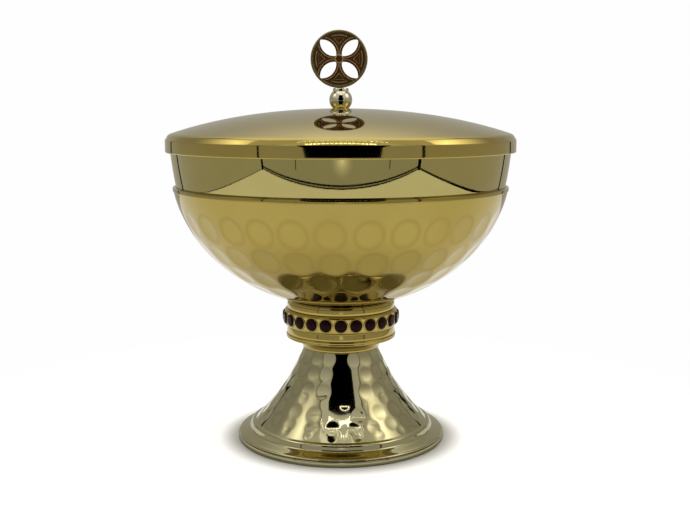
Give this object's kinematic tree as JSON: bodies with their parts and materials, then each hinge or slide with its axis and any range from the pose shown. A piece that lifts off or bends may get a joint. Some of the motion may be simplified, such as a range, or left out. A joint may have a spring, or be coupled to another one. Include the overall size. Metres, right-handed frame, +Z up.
{
  "type": "ciborium",
  "caption": "Lidded bowl on a hammered flared foot: hammered calyx round a plain cup, stone-set node, domed lid with ball knob and pierced cross medallion.",
  "frame": {"origin": "middle of the flat face that the foot stands on", "axes": "+Z up along the object's axis, medallion facing -Y, which is the front"},
  "size_m": [0.1704, 0.1704, 0.2025],
  "materials": {
    "gold_plate": "mirror polished gold plate",
    "hammered_gold": "hammered, polished gold plate",
    "pale_plate": "hammered, polished pale gold and silver plate",
    "aged_brass": "dark antiqued, ridges rubbed bright",
    "garnet_glass": "clear dark red stone, polished",
    "plain_brass": "turned, unplated",
    "zinc_steel": "zinc plated"
  },
  "bodies": {
    "cup_and_foot": {"foot_ring": "pale_plate", "foot_shell": "pale_plate", "neck_collar": "gold_plate", "node_lower_ring": "gold_plate", "stone_band": "gold_plate", "stone_01": "garnet_glass", "stone_02": "garnet_glass", "stone_03": "garnet_glass", "stone_04": "garnet_glass", "stone_05": "garnet_glass", "stone_06": "garnet_glass", "stone_07": "garnet_glass", "stone_08": "garnet_glass", "stone_09": "garnet_glass", "stone_10": "garnet_glass", "stone_11": "garnet_glass", "stone_12": "garnet_glass", "stone_13": "garnet_glass", "stone_14": "garnet_glass", "stone_15": "garnet_glass", "stone_16": "garnet_glass", "stone_17": "garnet_glass", "stone_18": "garnet_glass", "stone_19": "garnet_glass", "stone_20": "garnet_glass", "stone_21": "garnet_glass", "stone_22": "garnet_glass", "stone_23": "garnet_glass", "stone_24": "garnet_glass", "node_upper_ring": "gold_plate", "calyx": "hammered_gold", "cup": "gold_plate", "cup_boss": "plain_brass", "tie_rod": "zinc_steel", "foot_washer": "zinc_steel", "foot_nut": "zinc_steel"},
    "lid": {"lid_shell": "gold_plate", "ball_knob": "gold_plate", "medallion": "aged_brass", "lid_washer": "zinc_steel", "lid_screw": "zinc_steel"}
  },
  "joints": [
    {"name": "lid_lift", "type": "slide", "parent": "cup_and_foot", "child": "lid", "axis": [0, 0, 1], "range_m": [0, 0.12]}
  ]
}
